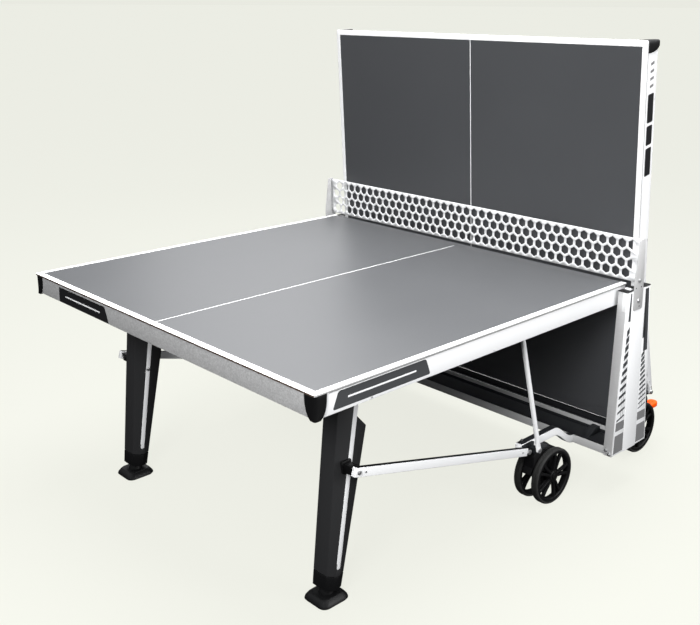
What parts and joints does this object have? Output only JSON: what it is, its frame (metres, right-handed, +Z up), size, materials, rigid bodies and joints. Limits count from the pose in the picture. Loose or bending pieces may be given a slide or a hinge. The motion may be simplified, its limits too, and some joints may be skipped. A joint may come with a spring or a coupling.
{
  "type": "ping pong table",
  "caption": "Folding ping pong table with one half flat and the other stored upright, net on posts, legs that fold with the tops, and double-wheel swivel casters.",
  "frame": {"origin": "on the floor, at the centre of the object's bounding box in X and Y", "axes": "+Z up; X across the table's width, parallel to the net; Y along the table, the flat half towards -Y and the upright half at +Y"},
  "size_m": [1.62, 1.82, 1.5581],
  "materials": {
    "playing_laminate": "satin grey laminate with fine texture and white lines",
    "white_paint": "white powder coat",
    "galvanised": "galvanised steel with fine spangle",
    "frame_black": "black powder coat",
    "zinc": "bright zinc plate",
    "moulded_black": "moulded black plastic",
    "leg_black": "textured charcoal plastic",
    "panel_grey": "printed grey panel with white lattice",
    "wheel_black": "black wheel with soft tread",
    "brake_orange": "orange plastic",
    "net_white": "white perforated net sheet"
  },
  "bodies": {
    "base": {"base_tray": "galvanised", "left_post": "galvanised", "right_post": "galvanised", "post_panels": "panel_grey", "post_covers": "white_paint", "post_caps": "moulded_black", "guide_rails": "galvanised", "wheel_arms": "galvanised", "arm_brackets": "frame_black", "net": "net_white", "net_plates": "galvanised", "base_bolts": "zinc"},
    "front_carriage": {"front_hinge_axle": "zinc"},
    "front_top": {"front_playing_surface": "playing_laminate", "front_side_rails": "white_paint", "front_end_rail": "galvanised", "front_net_rail": "galvanised", "front_cross_rails": "frame_black", "front_corner_caps": "moulded_black", "front_brackets": "frame_black"},
    "front_legs": {"front_leg_tubes": "galvanised", "front_leg_axle": "zinc", "front_leg_shells": "leg_black", "front_leg_caps": "moulded_black", "front_leg_clamps": "moulded_black"},
    "front_left_foot": {"front_left_foot": "moulded_black"},
    "front_right_foot": {"front_right_foot": "moulded_black"},
    "front_links": {"front_link_bars": "white_paint"},
    "front_struts": {"front_struts": "white_paint"},
    "rear_carriage": {"rear_hinge_axle": "zinc"},
    "rear_top": {"rear_playing_surface": "playing_laminate", "rear_side_rails": "white_paint", "rear_end_rail": "galvanised", "rear_net_rail": "galvanised", "rear_cross_rails": "frame_black", "rear_corner_caps": "moulded_black", "rear_brackets": "frame_black"},
    "rear_legs": {"rear_leg_tubes": "galvanised", "rear_leg_axle": "zinc", "rear_leg_shells": "leg_black", "rear_leg_caps": "moulded_black", "rear_leg_clamps": "moulded_black"},
    "rear_left_foot": {"rear_left_foot": "moulded_black"},
    "rear_right_foot": {"rear_right_foot": "moulded_black"},
    "rear_links": {"rear_link_bars": "white_paint"},
    "rear_struts": {"rear_struts": "white_paint"},
    "front_left_fork": {"front_left_fork": "moulded_black"},
    "front_left_outer_wheel": {"front_left_outer_wheel": "wheel_black"},
    "front_left_inner_wheel": {"front_left_inner_wheel": "wheel_black"},
    "front_right_fork": {"front_right_fork": "moulded_black"},
    "front_right_outer_wheel": {"front_right_outer_wheel": "wheel_black"},
    "front_right_inner_wheel": {"front_right_inner_wheel": "wheel_black"},
    "rear_left_fork": {"rear_left_fork": "moulded_black"},
    "rear_left_outer_wheel": {"rear_left_outer_wheel": "wheel_black"},
    "rear_left_inner_wheel": {"rear_left_inner_wheel": "wheel_black"},
    "rear_left_brake": {"rear_left_brake": "brake_orange"},
    "rear_right_fork": {"rear_right_fork": "moulded_black"},
    "rear_right_outer_wheel": {"rear_right_outer_wheel": "wheel_black"},
    "rear_right_inner_wheel": {"rear_right_inner_wheel": "wheel_black"},
    "rear_right_brake": {"rear_right_brake": "brake_orange"}
  },
  "joints": [
    {"name": "front_slide", "type": "slide", "parent": "base", "child": "front_carriage", "axis": [0, -0.0986, -0.9951], "range_m": [0, 0.52536]},
    {"name": "front_fold", "type": "hinge", "parent": "front_carriage", "child": "front_top", "pos_m": [0, 0.432, 0.738], "axis": [-1, 0, 0], "range_deg": [0, 91.7]},
    {"name": "front_leg_fold", "type": "hinge", "parent": "front_top", "child": "front_legs", "pos_m": [0, -0.602, 0.715], "axis": [1, 0, 0], "range_deg": [0, 78.37]},
    {"name": "front_link_fold", "type": "hinge", "parent": "front_legs", "child": "front_links", "pos_m": [0, -0.676, 0.427], "axis": [-1, 0, 0], "range_deg": [0, 73.56]},
    {"name": "front_strut_fold", "type": "hinge", "parent": "front_top", "child": "front_struts", "pos_m": [0, -0.011, 0.715], "axis": [1, 0, 0], "range_deg": [0, 47.09]},
    {"name": "front_left_foot_screw", "type": "slide", "parent": "front_legs", "child": "front_left_foot", "axis": [0, -0.165, -0.9863], "range_m": [0, 0.02]},
    {"name": "front_right_foot_screw", "type": "slide", "parent": "front_legs", "child": "front_right_foot", "axis": [0, -0.165, -0.9863], "range_m": [0, 0.02]},
    {"name": "rear_slide", "type": "slide", "parent": "base", "child": "rear_carriage", "axis": [0, -0.0986, 0.9951], "range_m": [0, 0.52536]},
    {"name": "rear_fold", "type": "hinge", "parent": "rear_carriage", "child": "rear_top", "pos_m": [0, 0.5398, 0.2152], "axis": [-1, 0, 0], "range_deg": [0, 91.7]},
    {"name": "rear_leg_fold", "type": "hinge", "parent": "rear_top", "child": "rear_legs", "pos_m": [0, 0.53211, 1.24943], "axis": [1, 0, 0], "range_deg": [0, 78.37]},
    {"name": "rear_link_fold", "type": "hinge", "parent": "rear_legs", "child": "rear_links", "pos_m": [0, 0.6705, 0.98624], "axis": [-1, 0, 0], "range_deg": [0, 73.56]},
    {"name": "rear_strut_fold", "type": "hinge", "parent": "rear_top", "child": "rear_struts", "pos_m": [0, 0.54965, 0.65869], "axis": [1, 0, 0], "range_deg": [0, 47.09]},
    {"name": "rear_left_foot_screw", "type": "slide", "parent": "rear_legs", "child": "rear_left_foot", "axis": [0, 0.3879, -0.9217], "range_m": [0, 0.02]},
    {"name": "rear_right_foot_screw", "type": "slide", "parent": "rear_legs", "child": "rear_right_foot", "axis": [0, 0.3879, -0.9217], "range_m": [0, 0.02]},
    {"name": "front_left_swivel", "type": "hinge", "parent": "base", "child": "front_left_fork", "pos_m": [-0.634, 0.135, 0.205], "axis": [0, 0, 1], "continuous": true},
    {"name": "front_left_outer_roll", "type": "hinge", "parent": "front_left_fork", "child": "front_left_outer_wheel", "pos_m": [-0.6715, 0.185, 0.1], "axis": [1, 0, 0], "continuous": true},
    {"name": "front_left_inner_roll", "type": "hinge", "parent": "front_left_fork", "child": "front_left_inner_wheel", "pos_m": [-0.5965, 0.185, 0.1], "axis": [1, 0, 0], "continuous": true},
    {"name": "front_right_swivel", "type": "hinge", "parent": "base", "child": "front_right_fork", "pos_m": [0.634, 0.135, 0.205], "axis": [0, 0, 1], "continuous": true},
    {"name": "front_right_outer_roll", "type": "hinge", "parent": "front_right_fork", "child": "front_right_outer_wheel", "pos_m": [0.6715, 0.185, 0.1], "axis": [1, 0, 0], "continuous": true},
    {"name": "front_right_inner_roll", "type": "hinge", "parent": "front_right_fork", "child": "front_right_inner_wheel", "pos_m": [0.5965, 0.185, 0.1], "axis": [1, 0, 0], "continuous": true},
    {"name": "rear_left_swivel", "type": "hinge", "parent": "base", "child": "rear_left_fork", "pos_m": [-0.634, 0.785, 0.205], "axis": [0, 0, 1], "continuous": true},
    {"name": "rear_left_outer_roll", "type": "hinge", "parent": "rear_left_fork", "child": "rear_left_outer_wheel", "pos_m": [-0.6715, 0.735, 0.1], "axis": [1, 0, 0], "continuous": true},
    {"name": "rear_left_inner_roll", "type": "hinge", "parent": "rear_left_fork", "child": "rear_left_inner_wheel", "pos_m": [-0.5965, 0.735, 0.1], "axis": [1, 0, 0], "continuous": true},
    {"name": "rear_left_brake_press", "type": "hinge", "parent": "rear_left_fork", "child": "rear_left_brake", "pos_m": [-0.634, 0.802, 0.14], "axis": [-1, 0, 0], "range_deg": [0, 15]},
    {"name": "rear_right_swivel", "type": "hinge", "parent": "base", "child": "rear_right_fork", "pos_m": [0.634, 0.785, 0.205], "axis": [0, 0, 1], "continuous": true},
    {"name": "rear_right_outer_roll", "type": "hinge", "parent": "rear_right_fork", "child": "rear_right_outer_wheel", "pos_m": [0.6715, 0.735, 0.1], "axis": [1, 0, 0], "continuous": true},
    {"name": "rear_right_inner_roll", "type": "hinge", "parent": "rear_right_fork", "child": "rear_right_inner_wheel", "pos_m": [0.5965, 0.735, 0.1], "axis": [1, 0, 0], "continuous": true},
    {"name": "rear_right_brake_press", "type": "hinge", "parent": "rear_right_fork", "child": "rear_right_brake", "pos_m": [0.634, 0.802, 0.14], "axis": [-1, 0, 0], "range_deg": [0, 15]}
  ],
  "couplings": [
    {"joint": "front_slide", "follows": "front_fold", "m_per_rad": 0.32825},
    {"joint": "front_leg_fold", "follows": "front_fold", "ratio": 0.85467},
    {"joint": "front_link_fold", "follows": "front_fold", "ratio": 0.80216},
    {"joint": "front_strut_fold", "follows": "front_fold", "ratio": 0.51356},
    {"joint": "rear_slide", "follows": "rear_fold", "m_per_rad": 0.32825},
    {"joint": "rear_leg_fold", "follows": "rear_fold", "ratio": 0.85467},
    {"joint": "rear_link_fold", "follows": "rear_fold", "ratio": 0.80216},
    {"joint": "rear_strut_fold", "follows": "rear_fold", "ratio": 0.51356}
  ]
}
